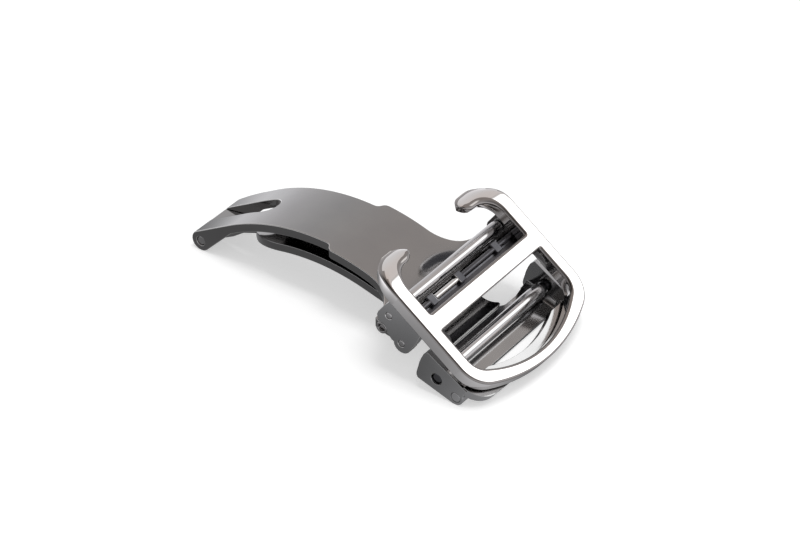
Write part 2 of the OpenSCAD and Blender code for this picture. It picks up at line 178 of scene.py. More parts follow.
def table_finish():
    """Matt white for the lens and for light, and a shaded tone for reflections."""
    material, tree, out = fresh_material("white_table")
    path = add(tree, "ShaderNodeLightPath")
    place = add(tree, "ShaderNodeTexCoord").outputs["Object"]
    place = vector_node(tree, "SUBTRACT", place, SHADE_MIDDLE)
    right = vector_node(tree, "MAXIMUM", place, (0.0, 0.0, 0.0))
    left = vector_node(tree, "MINIMUM", place, (0.0, 0.0, 0.0))
    right = vector_node(tree, "MULTIPLY", right, SHADE_TO_RIGHT)
    reach = vector_node(tree, "LENGTH", vector_node(tree, "MULTIPLY_ADD", left, SHADE_TO_LEFT, right))
    from_spot = vector_node(tree, "LENGTH", vector_node(tree, "SUBTRACT", place, SPOT_FROM_SHADE))
    lit = math_node(tree, "MULTIPLY", fade(tree, reach, *SHADE_FADES),
                    fade(tree, from_spot, *SPOT_FADES))
    tone = add(tree, "ShaderNodeMix", {0: lit, "A": SHADED, "B": UNSHADED}, data_type="RGBA")
    mirrored = add(tree, "ShaderNodeEmission", {"Color": tone.outputs["Result"], "Strength": 1.0})
    matt = add(tree, "ShaderNodeBsdfDiffuse", {"Color": (0.70, 0.70, 0.70, 1.0)})
    glow = add(tree, "ShaderNodeEmission", {"Strength": math_node(tree, "MULTIPLY",
                                                                  seen_straight(tree, path), 0.50)})
    paper = add(tree, "ShaderNodeAddShader", {0: matt.outputs[0], 1: glow.outputs[0]})
    both = add(tree, "ShaderNodeMixShader", {0: path.outputs["Is Glossy Ray"], 1: paper.outputs[0],
                                             2: mirrored.outputs[0]})
    tree.links.new(both.outputs[0], out.inputs["Surface"])
    return material


def sheet_of_table(name, half):
    """A square sheet on the table's plane, as a mesh."""
    mesh = bpy.data.meshes.new(name)
    mesh.from_pydata([(-half, -half, 0), (half, -half, 0), (half, half, 0), (-half, half, 0)],
                     [], [(0, 1, 2, 3)])
    obj = bpy.data.objects.new(name, mesh)
    scene.collection.objects.link(obj)
    return obj


table = sheet_of_table("table", 4.0)
table.data.materials.append(table_finish())
print("table", table.data.materials[0].name)

# %% [markdown]
# ## The studio
# Polished metal has no look of its own: it shows the room. The room here is plain and grey,
# brighter and cooler at the horizon, darker and warmer overhead. On the photographer's side it is
# darker again, and darkest high up, because that draws dark lines along the rounded edges. Only
# reflections see these tones. The lens sees plain white, and the light on the table is plain grey.

# %% The room
ROOM_TONES = ((0.0, (0.97, 0.97, 1.0)), (0.25, (0.78, 0.77, 0.79)), (0.55, (0.62, 0.61, 0.615)),
              (1.0, (0.56, 0.50, 0.47)))
ROOM_TOP = 0.9
FRONT_LOW = 0.45
FRONT_HIGH = 0.05
FRONT_DARKENS = (0.55, 0.85)
FRONT_ENDS = (-0.30, 0.30)


def room():
    """The world: grey light, a graded room for reflections and white for the lens."""
    world = bpy.data.worlds.new("studio")
    scene.world = world
    world.use_nodes = True
    tree = world.node_tree
    tree.nodes.clear()
    out = tree.nodes.new("ShaderNodeOutputWorld")
    path = add(tree, "ShaderNodeLightPath")
    way = add(tree, "ShaderNodeTexCoord").outputs["Generated"]
    parts = add(tree, "ShaderNodeSeparateXYZ", {0: way})
    height = add(tree, "ShaderNodeMapRange", {"Value": parts.outputs["Z"], "From Min": 0.0,
                                              "From Max": ROOM_TOP}).outputs[0]
    tones = colour_steps(tree, height, ROOM_TONES)
    front = fade(tree, parts.outputs["Z"], *FRONT_DARKENS, FRONT_LOW, FRONT_HIGH)
    level = fade(tree, parts.outputs["Y"], *FRONT_ENDS, front, 1.0)
    plain = add(tree, "ShaderNodeMix", {0: path.outputs["Is Glossy Ray"], "A": (0.45, 0.45, 0.45, 1.0),
                                        "B": tones}, data_type="RGBA")
    level = add(tree, "ShaderNodeMix", {0: path.outputs["Is Glossy Ray"], "A": 1.0, "B": level},
                data_type="FLOAT")
    grey = add(tree, "ShaderNodeBackground", {"Color": plain.outputs["Result"],
                                              "Strength": level.outputs["Result"]})
    white = add(tree, "ShaderNodeBackground", {"Color": (1.0, 1.0, 1.0, 1.0), "Strength": 1.0})
    mix = add(tree, "ShaderNodeMixShader", {0: seen_straight(tree, path), 1: grey.outputs[0],
                                            2: white.outputs[0]})
    tree.links.new(mix.outputs[0], out.inputs["Surface"])


room()
scene.view_settings.view_transform = "Standard"
print("view transform", scene.view_settings.view_transform)

# %% [markdown]
# ## The lamps
# Two soft boxes hang above the clasp: a small one nearly overhead that gives the shadow its soft
# edge, and a wide weak one to the right that fills it. In the steel they would show as two hard
# white squares, so reflections don't see them.

# %% The soft boxes
def soft_box(name, direction, distance, side, power):
    """A square area lamp that stands off in a direction and faces the clasp."""
    data = bpy.data.lights.new(name, "AREA")
    data.shape = "RECTANGLE"
    data.size = side
    data.size_y = side
    data.energy = power
    lamp = bpy.data.objects.new(name, data)
    scene.collection.objects.link(lamp)
    way = Vector(direction).normalized()
    lamp.location = look_at + way * distance
    lamp.rotation_mode = "QUATERNION"
    lamp.rotation_quaternion = way.to_track_quat("Z", "X")
    return lamp


for name, direction, distance, side, power in (
        ("key_box", (0.16, -0.02, 0.98), 0.9, 0.34, 3.2),
        ("fill_box", (0.55, 0.10, 0.80), 1.2, 0.90, 1.0)):
    soft_box(name, direction, distance, side, power).visible_glossy = False

# %% [markdown]
# ## The bright card
# The flat top of the frame is nearly white in the picture, because it mirrors a large white card.
# The card stands behind the clasp to the right, close to the line along which the frame's top
# mirrors the lens. The blades lean another way, so they miss it and stay grey. The card's light
# fades towards its edges, so the white on the steel ends softly, and only reflections see it.

# %% The card
CARD_WAY = (0.47, 0.66, 0.585)
CARD_DISTANCE = 0.8
CARD_HALF_WIDTH = 0.30
CARD_HALF_HEIGHT = 0.26
CARD_STRENGTH = 1.9


def card_finish():
    """Light that is full in the card's middle and gone at its edge."""
    material, tree, out = fresh_material("white_card")
    spot = add(tree, "ShaderNodeUVMap").outputs[0]
    far = vector_node(tree, "LENGTH", vector_node(tree, "SUBTRACT", spot, (0.5, 0.5, 0.0)))
    glow = fade(tree, far, 0.5, 0.2, 0.0, CARD_STRENGTH)
    light = add(tree, "ShaderNodeEmission", {"Strength": glow})
    clear = add(tree, "ShaderNodeBsdfTransparent")
    mix = add(tree, "ShaderNodeMixShader", {0: math_node(tree, "MINIMUM", glow, 1.0),
                                            1: clear.outputs[0], 2: light.outputs[0]})
    tree.links.new(mix.outputs[0], out.inputs["Surface"])
    return material


def bright_card():
    """The card as a mesh that faces the clasp."""
    way = Vector(CARD_WAY).normalized()
    across = way.cross(Vector((0.0, 1.0, 0.0))).normalized()
    along = across.cross(way).normalized()
    middle_point = look_at + way * CARD_DISTANCE
    corners = [middle_point + across * a * CARD_HALF_WIDTH + along * b * CARD_HALF_HEIGHT
               for a, b in ((-1, -1), (1, -1), (1, 1), (-1, 1))]
    mesh = bpy.data.meshes.new("card")
    mesh.from_pydata(corners, [], [(0, 1, 2, 3)])
    places = mesh.uv_layers.new(name="card")
    for place, at in zip(places.data, ((0, 0), (1, 0), (1, 1), (0, 1))):
        place.uv = at
    mesh.materials.append(card_finish())
    card = bpy.data.objects.new("card", mesh)
    scene.collection.objects.link(card)
    card.visible_camera = False
    card.visible_diffuse = False
    card.visible_shadow = False
    return card


print("card", [round(c, 2) for c in bright_card().data.vertices[0].co])

# %% [markdown]
# ## Steel
# Every piece is stainless steel, but not with one finish. The frame is mirror polished, the blades
# are polished, the side plates and the bracket are polished a little less, and pins are turned and
# left as they come. The tones are set apart as well: the frame's steel is far lighter and the
# blades' darker, which paints in part of the light and shade that each piece shows. Rounded edges
# take a steel of their own: a lighter one, a painted highlight, and on the frame a darker one, a
# painted shade. Pieces in holes, under the cross bar and below the hooks take a very dark steel, a
# painted shade, and one stretch of the comb's bead a bright one, a painted highlight. Each finish is
# the same tree with other numbers: a slow cloud in the colour, a fine grain and long hairlines in
# the roughness, and a very shallow bump. The sizes are real ones, in fractions of a millimetre, so
# the pattern reads Object coordinates in metres.

# %% One tree for every polished steel
HAIRLINES = (300.0, 6000.0, 6000.0)


def steel(name, dark, light, rough, spread, lines=HAIRLINES):
    """A steel whose colour lies between two tones and whose roughness varies round a mean."""
    material, tree, out = fresh_material(name + "_steel")
    place = add(tree, "ShaderNodeTexCoord").outputs["Object"]
    cloud = add(tree, "ShaderNodeTexNoise", {"Vector": place, "Scale": 180.0, "Detail": 3.0,
                                             "Roughness": 0.55})
    laid = add(tree, "ShaderNodeMapping", {"Vector": place, "Scale": lines})
    hairs = add(tree, "ShaderNodeTexNoise", {"Vector": laid.outputs[0], "Scale": 1.0, "Detail": 4.0,
                                             "Roughness": 0.7})
    specks = add(tree, "ShaderNodeTexNoise", {"Vector": place, "Scale": 900.0, "Detail": 2.0})
    worn = math_node(tree, "ADD", math_node(tree, "MULTIPLY", hairs.outputs[0], 0.6),
                     math_node(tree, "MULTIPLY", specks.outputs[0], 0.4))
    roughness = add(tree, "ShaderNodeMapRange", {"Value": worn, "From Min": 0.35, "From Max": 0.65,
                                                 "To Min": rough - spread, "To Max": rough + spread})
    relief = add(tree, "ShaderNodeBump", {"Height": worn, "Strength": 0.002, "Distance": 0.00001})
    shader = add(tree, "ShaderNodeBsdfPrincipled", {
        "Base Color": colour_steps(tree, cloud.outputs[0], ((0.3, dark), (0.7, light))),
        "Metallic": 1.0, "Roughness": roughness.outputs[0], "Normal": relief.outputs[0]})
    tree.links.new(shader.outputs[0], out.inputs["Surface"])
    return material


print("hairlines for each mm of width", round(HAIRLINES[1] * MM))

# %% The finishes
TURNING_MARKS = (4000.0, 60000.0, 4000.0)

finish = {name: steel(name, *numbers) for name, *numbers in (
    # The frame's steel is set light, a painted light, and the blades' dark, a painted shade, besides
    # their polish.
    ("frame_polish", (0.91, 0.89, 0.88), (0.95, 0.93, 0.92), 0.05, 0.02),
    ("blade_polish", (0.37, 0.365, 0.365), (0.40, 0.395, 0.39), 0.10, 0.03),
    ("side_polish", (0.52, 0.52, 0.52), (0.57, 0.57, 0.57), 0.12, 0.04),
    ("bracket", (0.42, 0.42, 0.42), (0.48, 0.48, 0.48), 0.12, 0.04),
    # Lighter steel for rounded edges, a painted highlight; the second one is only a little lighter.
    ("edge_highlight", (0.70, 0.69, 0.68), (0.78, 0.77, 0.76), 0.10, 0.03),
    ("faint_edge_highlight", (0.42, 0.42, 0.42), (0.50, 0.50, 0.50), 0.14, 0.03),
    # Darker steel for the frame's rounded rims: a painted shade.
    ("rim_shade", (0.33, 0.31, 0.30), (0.38, 0.36, 0.35), 0.10, 0.03),
    ("pin_turned", (0.60, 0.59, 0.59), (0.66, 0.65, 0.65), 0.15, 0.03, TURNING_MARKS),
    # Very dark steel for what lies in holes, under the cross bar or below the hooks: a painted shade.
    ("dark_pin", (0.10, 0.10, 0.11), (0.16, 0.16, 0.17), 0.30, 0.06),
    ("satin", (0.40, 0.39, 0.39), (0.46, 0.45, 0.45), 0.26, 0.04),
    # Bright steel for one stretch of the comb's bead: a painted highlight.
    ("bead", (0.90, 0.89, 0.88), (0.95, 0.94, 0.93), 0.30, 0.05),
    ("spring_wire", (0.40, 0.40, 0.42), (0.50, 0.50, 0.52), 0.25, 0.06))}
print("finishes", sorted(finish))

# %% [markdown]
# ## Softened edges
# No edge of a polished part is sharp: the buffing wheel rounds it, and that thin rounded line
# catches the light and tells the eye that this is metal. Each solid piece is copied, its loose
# triangles are merged and its flat areas are joined. A Bevel then rounds every edge that is sharper
# than a set angle, or, where the widths differ, each edge by its own weight. The rounded faces take
# a steel of their own: mostly a lighter one, a painted highlight, and on the frame a darker one, a
# painted shade. Where two roundings nearly meet, a Weld joins their corners, because a face that
# folds back over such a corner shows as a thin dark line.

# %% Copy a solid piece
def merged_copy(node, name):
    """The solid's shape as a clean mesh of its own."""
    mesh = nodes[node].data.copy()
    mesh.name = name
    shape = bmesh.new()
    shape.from_mesh(mesh)
    bmesh.ops.remove_doubles(shape, verts=shape.verts, dist=1e-7)
    bmesh.ops.dissolve_limit(shape, angle_limit=math.radians(0.3), verts=shape.verts,
                             edges=shape.edges)
    shape.to_mesh(mesh)
    shape.free()
    if mesh.has_custom_normals:
        mesh.attributes.remove(mesh.attributes["custom_normal"])
    mesh.materials.clear()
    obj = bpy.data.objects.new(name, mesh)
    scene.collection.objects.link(obj)
    return obj


def settle(obj, name):
    """Turns an object with modifiers into a plain mesh under the same name."""
    graph = bpy.context.evaluated_depsgraph_get()
    mesh = bpy.data.meshes.new_from_object(obj.evaluated_get(graph))
    mesh.name = name
    obj.modifiers.clear()
    obj.data = mesh
    return obj


print("solid pieces to dress", sorted(nodes))

# %% Round its edges
def weigh_edges(obj, weight_of, angle):
    """Gives each sharp edge its own share of the bevel's width."""
    shape = bmesh.new()
    shape.from_mesh(obj.data)
    share = shape.edges.layers.float.new("bevel_weight_edge")
    for edge in shape.edges:
        if len(edge.link_faces) == 2 and edge.calc_face_angle() > math.radians(angle):
            edge[share] = weight_of(edge)
    shape.to_mesh(obj.data)
    shape.free()


SHARP_FROM = 25.0


def round_edges(obj, width, segments=3, edge_slot=-1, weight_of=None, join=0.0):
    """Rounds the sharp edges of a piece, joins corners that nearly meet, and settles it."""
    bevel = obj.modifiers.new("rounding", "BEVEL")
    bevel.width = width * MM
    bevel.segments = segments
    bevel.limit_method = "ANGLE"
    bevel.angle_limit = math.radians(SHARP_FROM)
    if weight_of:
        weigh_edges(obj, weight_of, SHARP_FROM)
        bevel.limit_method = "WEIGHT"
    bevel.use_clamp_overlap = False
    # The rounded faces take the edge slot's steel, which paints a highlight or a shade on them.
    bevel.material = edge_slot
    bevel.miter_outer = "MITER_ARC"
    if join:
        obj.modifiers.new("joined", "WELD").merge_threshold = join * MM
    return settle(obj, obj.name)


print("edges are rounded from degrees", SHARP_FROM)

# %% Put the finished piece in the solid one's place
CREASE_FROM = 40.0


def put_on(obj, node, *more):
    """Smooths a finished piece and lets it stand for one or more solid pieces."""
    obj.data.shade_smooth()
    obj.data.set_sharp_from_angle(angle=math.radians(CREASE_FROM))
    weigh = obj.modifiers.new("flat_faces", "WEIGHTED_NORMAL")
    weigh.keep_sharp = True
    settle(obj, obj.name)
    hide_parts(node, *more)
    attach(obj, body_of[node])
    print(obj.name, len(obj.data.polygons), "faces")
    return obj


print("shading breaks at an edge from degrees", CREASE_FROM)

# %% [markdown]
# ## Blades, plates and bracket
# The blades are strips bent to an arc, and the solid model draws each arc as short flat steps. A
# polished face shows every step. Light reads a shape by its normals, so the broad sides keep their
# faces and take the normals of the curve that the steps stand for. The bracket is thin, so it is
# rounded fully only along the outside of its lugs.

# %% Shade a bent strip as a curve
BROAD_FACE = 0.3e-6
GREATEST_TURN = 0.15


def smooth_strip(obj):
    """Shades the two broad sides of a bent strip by the curve that their flat steps stand for."""
    mesh = obj.data
    broad = [face for face in mesh.polygons if abs(face.normal.y) < 0.01 and abs(face.normal.z) > 0.3]
    wide = [(min(mesh.vertices[v].co.x for v in face.vertices),
             max(mesh.vertices[v].co.x for v in face.vertices), face)
            for face in broad if face.area > BROAD_FACE]
    steps = {1: [], -1: []}
    for low, high, face in sorted(wide, key=lambda row: row[:2]):
        lean = round(math.atan2(face.normal.x, abs(face.normal.z)), 3)
        side = steps[1 if face.normal.z > 0 else -1]
        if side and side[-1][2] == lean and low < side[-1][1]:
            side[-1][1] = max(high, side[-1][1])
        else:
            side.append([low, high, lean])
    curved = {}
    for face in broad:
        side = 1 if face.normal.z > 0 else -1
        known = sorted(((low + high) / 2, lean) for low, high, lean in steps[side])
        for corner in face.vertices:
            x = mesh.vertices[corner].co.x
            before = [row for row in known if row[0] <= x][-1:]
            after = [row for row in known if row[0] > x][:1]
            if before and after and abs(after[0][1] - before[0][1]) < GREATEST_TURN:
                part = (x - before[0][0]) / (after[0][0] - before[0][0])
                lean = before[0][1] + (after[0][1] - before[0][1]) * part
                curved[corner] = Vector((math.sin(lean), 0.0, math.cos(lean) * side))
    normals = []
    for corner, loop in zip(mesh.corner_normals, mesh.loops):
        old = Vector(corner.vector)
        new = curved.get(loop.vertex_index, old)
        normals.append(new if new.dot(old) > 0.9 else old)
    mesh.normals_split_custom_set(normals)
    return len(curved)


print("faces count as broad above mm2", BROAD_FACE * 1e6)

# %% Round the blades, the plates and the bracket
LUG_OUTSIDE = 10.85
NEAR_CORNERS = 0.022


def bracket_share(edge):
    """The outer outline of the lugs is rounded most, and thin parts least."""
    return 1.0 if all(abs(corner.co.y) > LUG_OUTSIDE * MM for corner in edge.verts) else 0.35


# Rounded edges take a lighter steel than the faces: a painted highlight.
for node, width, faces, edges, weight_of, join in (
        ("upper_blade", 0.10, "blade_polish", "edge_highlight", None, NEAR_CORNERS),
        ("lower_blade", 0.06, "blade_polish", "faint_edge_highlight", None, 0.0),
        ("lug_bracket", 0.08, "bracket", "faint_edge_highlight", bracket_share, 0.0),
        ("side_plate_near", 0.07, "side_polish", "edge_highlight", None, 0.0),
        ("side_plate_far", 0.07, "side_polish", "edge_highlight", None, 0.0),
        ("clamp_cheek_near", 0.05, "side_polish", "edge_highlight", None, 0.0),
        ("clamp_cheek_far", 0.05, "side_polish", "edge_highlight", None, 0.0)):
    piece = merged_copy(node, node + "_polished")
    piece.data.materials.append(finish[faces])
    piece.data.materials.append(finish[edges])
    round_edges(piece, width, edge_slot=1, weight_of=weight_of, join=join)
    put_on(piece, node)
    if node.endswith("blade"):
        print("  corners shaded as a curve", smooth_strip(piece))

# %% [markdown]
# ## The frame
# The frame is the piece that everyone sees: a flat D with a cross bar, polished like a mirror. Its
# windows have a broad soft rim, while its outer rim is rounded less, so here the bevel's width goes
# by weights. The widths are measured on the frame's own sloping plane: u runs along the strap, v
# across it and w up from the frame's top.

# %% The frame's own plane
TILT = math.radians(35.76)
FRAME_AT = Vector((14.4878, 0.0, 8.51))
ALONG = Vector((math.cos(TILT), 0.0, -math.sin(TILT)))
ABOVE = Vector((math.sin(TILT), 0.0, math.cos(TILT)))


def on_frame(u, v, w):
    """A point of the frame's plane in millimetres, as a place in metres."""
    return (FRAME_AT + ALONG * u + Vector((0.0, v, 0.0)) + ABOVE * w) * MM


def frame_place(point):
    """Where a place in metres lies on the frame's plane, in millimetres."""
    way = point / MM - FRAME_AT
    return way.dot(ALONG), way.y, way.dot(ABOVE)


print("cross bar at mm", [round(c / MM, 2) for c in on_frame(0, 0, 0)])

# %% Round the frame by weights
WINDOW_RIM = 0.36
OUTER_RIM = 0.24
UNDER_RIM = 0.12
BAR_RIM = 0.162
BAR_HALF = 1.075
STRAP_WINDOW_MIDDLE = -4.0
D_WINDOW_MIDDLE = 5.5


def frame_share(edge):
    """How much of the widest rounding an edge of the frame gets."""
    places = [frame_place(corner.co) for corner in edge.verts]
    if min(place[2] for place in places) < -0.03:
        return UNDER_RIM / WINDOW_RIM
    u = (places[0][0] + places[1][0]) / 2
    v = (places[0][1] + places[1][1]) / 2
    wall = min((face.normal for face in edge.link_faces), key=lambda normal: normal.dot(ABOVE))
    middle = D_WINDOW_MIDDLE if u > 0 else STRAP_WINDOW_MIDDLE
    if (middle - u) * wall.dot(ALONG) - v * wall.y < 0:
        return OUTER_RIM / WINDOW_RIM
    return BAR_RIM / WINDOW_RIM if abs(u - BAR_HALF) < 0.02 else 1.0


polished_frame = merged_copy("top_frame", "top_frame_polished")
# The frame's rims take a darker steel, a painted shade, and the hooks' undersides a very dark one,
# painted shade too.
for name in ("frame_polish", "rim_shade", "dark_pin"):
    polished_frame.data.materials.append(finish[name])
round_edges(polished_frame, WINDOW_RIM, segments=5, edge_slot=1, weight_of=frame_share)
print("frame", len(polished_frame.data.polygons), "faces")

# %% [markdown]
# ## The hooks
# At the strap end each rail bends inwards, rolls down and ends in a blunt, rounded tip, like a
# finger. A bevel can't turn a square rail into that, so the solid hooks are cut off and lofted:
# cross-sections are set along the bend, each a rounded rectangle, and the rounding grows towards
# the tip. The first section is the rail's own, so the join doesn't show.

# %% Cut the frame in front of its hooks
HOOK_FROM = -4.45


def cut_off(obj, point, normal):
    """Drops what lies behind a plane and closes the cut."""
    shape = bmesh.new()
    shape.from_mesh(obj.data)
    whole = shape.verts[:] + shape.edges[:] + shape.faces[:]
    bmesh.ops.bisect_plane(shape, geom=whole, dist=1e-8, plane_co=point, plane_no=normal,
                           clear_inner=True)
    rim = [edge for edge in shape.edges if edge.is_boundary]
    closed = bmesh.ops.holes_fill(shape, edges=rim, sides=0)
    shape.to_mesh(obj.data)
    shape.free()
    return len(closed["faces"])


print("cuts closed", cut_off(polished_frame, on_frame(HOOK_FROM, 0, 0), ALONG))

# %% One cross-section of a hook
BOTTOM = -1.62
ROLL = 4.2
ROLL_FROM = -5.8
TURN_STEPS = 6
TOP_STEPS = 6


def ease(t):
    """Goes softly from 0 to 1."""
    t = min(max(t, 0.0), 1.0)
    return t * t * (3.0 - 2.0 * t)


def rolled_top(u):
    """How high the hook's top is at u."""
    return math.sqrt(ROLL ** 2 - (u - ROLL_FROM) ** 2) - ROLL if u < ROLL_FROM else 0.0


def hook_section(inner, outer, bend, nose, side):
    """A rounded rectangle between the rail's inner and outer edge, as a ring of places.

    bend grows from 0 to 1 along the hook and nose from 0 to 1 over its tip. The four corners are
    quarter ellipses: soft is their reach across the rail, fall their reach down its walls.
    """
    wide = math.dist(inner, outer)
    drop = 0.10 * (1.0 - math.sqrt(max(1.0 - ease(nose) ** 2, 0.0)))
    deep_in = rolled_top(inner[0]) - drop - BOTTOM
    deep_out = rolled_top(outer[0]) - drop - BOTTOM
    blunt = 1.0 - 0.6 * ease(nose)
    soft_in = min((WINDOW_RIM + 0.45 * ease(bend)) * blunt, 0.46 * wide)
    soft_out = min((OUTER_RIM + 0.90 * ease(bend * 1.1)) * blunt, 0.50 * wide)
    fall_in = min((WINDOW_RIM + 0.10 * ease(bend)) * blunt, 0.55 * deep_in)
    fall_out = min((OUTER_RIM + 0.30 * ease(bend * 1.1)) * blunt, 0.55 * deep_out)
    foot = min(UNDER_RIM + 0.25 * ease(bend), 0.45 * wide)
    foot_in = min(foot, 0.4 * deep_in)
    foot_out = min(foot, 0.4 * deep_out)
    crown = 0.08 * ease(bend)
    ring = []

    def spot(a, height, from_top):
        u = inner[0] + (outer[0] - inner[0]) * a / wide
        v = inner[1] + (outer[1] - inner[1]) * a / wide
        w = BOTTOM + height
        if from_top:
            w = rolled_top(u) - drop - height - crown * (2.0 * a / wide - 1.0) ** 2
        ring.append(on_frame(u, v * side, w))

    turns = [math.radians(90.0 * i / TURN_STEPS) for i in range(TURN_STEPS + 1)]
    for turn in turns:
        spot(foot * (1 - math.sin(turn)), foot_in * (1 - math.cos(turn)), False)
    for turn in turns:
        spot(soft_in * (1 - math.cos(turn)), fall_in * (1 - math.sin(turn)), True)
    for i in range(1, TOP_STEPS):
        spot(soft_in + (wide - soft_in - soft_out) * i / TOP_STEPS, 0.0, True)
    for turn in turns:
        spot(wide - soft_out * (1 - math.sin(turn)), fall_out * (1 - math.cos(turn)), True)
    for turn in turns:
        spot(wide - foot * (1 - math.cos(turn)), foot_out * (1 - math.sin(turn)), False)
    return ring


print("section of", len(hook_section((HOOK_FROM, 9.05), (HOOK_FROM, 11.1), 0.0, 0.0, 1)), "points")

# %% Set the sections along the bend
BEND_IN = 2.45
BEND_OUT = 3.8
STRAIGHT = 0.8
INNER_CENTRE = 6.6
OUTER_CENTRE = 7.3
OUTER_RUN = 6.77
TIP_FROM = 6.45
TIP_TO = 5.0
BEND_SECTIONS = 26
SIDE_SECTIONS = 4
TIP_SECTIONS = 12


def hook_stations():
    """Inner edge, outer edge, share of the bend and nearness to the tip, section by section."""
    rows = []
    for i in range(BEND_SECTIONS + 1):
        t = i / BEND_SECTIONS
        turn = math.radians(90.0 * t)
        inner = (HOOK_FROM - BEND_IN * math.sin(turn), INNER_CENTRE + BEND_IN * math.cos(turn))
        run = OUTER_RUN * t
        bent = max(run - STRAIGHT, 0.0) / BEND_OUT
        outer = (HOOK_FROM - min(run, STRAIGHT) - BEND_OUT * math.sin(bent),
                 OUTER_CENTRE + BEND_OUT * math.cos(bent))
        rows.append((inner, outer, t, 0.0))
    inner_u = HOOK_FROM - BEND_IN
    outer_u = HOOK_FROM - STRAIGHT - BEND_OUT
    for i in range(1, SIDE_SECTIONS + 1):
        rows.append(((inner_u, INNER_CENTRE + (TIP_FROM - INNER_CENTRE) * i / SIDE_SECTIONS),
                     (outer_u, OUTER_CENTRE + (TIP_FROM - OUTER_CENTRE) * i / SIDE_SECTIONS), 1.0, 0.0))
    for i in range(1, TIP_SECTIONS + 1):
        turn = math.radians(87.0 * i / TIP_SECTIONS)
        half = (inner_u - outer_u) / 2 * math.cos(turn)
        v = TIP_FROM - (TIP_FROM - TIP_TO) * math.sin(turn)
        nose = max(math.sin(turn) - 0.6, 0.0) / 0.4
        rows.append((((inner_u + outer_u) / 2 + half, v), ((inner_u + outer_u) / 2 - half, v),
                     1.0, nose))
    return rows


print("sections in a hook", len(hook_stations()))

# %% Join the sections
def loft_hook(shape, side):
    """Adds one hook to the frame's mesh as a closed shell.

    Its rims take the darker rim steel, a painted shade, and the outer rim's band narrows towards
    the tip. The side below takes the very dark steel, a painted shade.
    """
    rings = [[shape.verts.new(place) for place in hook_section(*row, side)] for row in hook_stations()]
    size = len(rings[0])
    inner_rim = TURN_STEPS + 1
    flat_top = inner_rim + TURN_STEPS
    outer_rim = flat_top + TOP_STEPS
    outer_wall = outer_rim + TURN_STEPS
    faces = [shape.faces.new(rings[0]), shape.faces.new(rings[-1])]
    for step, (before, after) in enumerate(zip(rings, rings[1:])):
        lost = min(step // 5, 3)
        for i in range(size):
            k = (i + 1) % size
            faces.append(shape.faces.new((before[i], before[k], after[k], after[i])))
            on_rim = inner_rim <= i < flat_top or outer_rim + lost <= i < outer_wall
            faces[-1].material_index = 2 if i == size - 1 else int(on_rim)
    bmesh.ops.recalc_face_normals(shape, faces=faces)
    return len(faces)


shape = bmesh.new()
shape.from_mesh(polished_frame.data)
print("hook faces", [loft_hook(shape, side) for side in (-1, 1)])
shape.to_mesh(polished_frame.data)
shape.free()
put_on(polished_frame, "top_frame")

# %% [markdown]
# ## Trees that make meshes
# The pins, the tubes, the spring and the comb each follow a rule, so Geometry Nodes make them: one
# tree for each rule, with its sizes as named inputs, and the same tree serves every piece of that
# kind. The result is kept as a plain mesh, which can be rounded and shaded like any other piece.

# %% Start and end a tree
def new_tree(name, sizes):
    """A tree with one named input for each size, and its input sockets."""
    tree = bpy.data.node_groups.new(name, "GeometryNodeTree")
    tree.is_modifier = True
    kinds = {int: "NodeSocketInt", float: "NodeSocketFloat", tuple: "NodeSocketVector"}
    for label, value in sizes.items():
        socket = tree.interface.new_socket(label, in_out="INPUT", socket_type=kinds[type(value)])
        socket.default_value = value
    tree.interface.new_socket("Finish", in_out="INPUT", socket_type="NodeSocketMaterial")
    tree.interface.new_socket("Mesh", in_out="OUTPUT", socket_type="NodeSocketGeometry")
    return tree, tree.nodes.new("NodeGroupInput").outputs


def end_tree(tree, shape, given):
    """Closes a tree: real geometry, then its material."""
    real = add(tree, "GeometryNodeRealizeInstances", {0: shape})
    painted = add(tree, "GeometryNodeSetMaterial", {0: real.outputs[0], "Material": given["Finish"]})
    tree.links.new(painted.outputs[0], tree.nodes.new("NodeGroupOutput").inputs[0])


print("tree helpers", new_tree.__name__, end_tree.__name__)

# %% Run a tree
def grow(name, tree, sizes, material):
    """Runs a tree with these sizes and keeps the result as a plain mesh."""
    obj = bpy.data.objects.new(name, bpy.data.meshes.new(name))
    scene.collection.objects.link(obj)
    recipe = obj.modifiers.new("recipe", "NODES")
    recipe.node_group = tree
    values = {**sizes, "Finish": material}
    for item in tree.interface.items_tree:
        if item.in_out == "INPUT" and item.name in values:
            recipe[item.identifier] = values[item.name]
    return settle(obj, name)


print("tree runner", grow.__name__)

# %% [markdown]
# ## Pins
# A pin is cut from round bar and its ends are faced and rounded on a lathe. The tree sets points
# along a line, and each point carries the bar's radius there: at the two ends the radius follows a
# quarter of a circle. A circle is then swept along the line, and copies are set in one line with
# it, since the two tail pins are one kind of pin twice.

# %% The tree of a turned pin
PIN_POINTS = 12


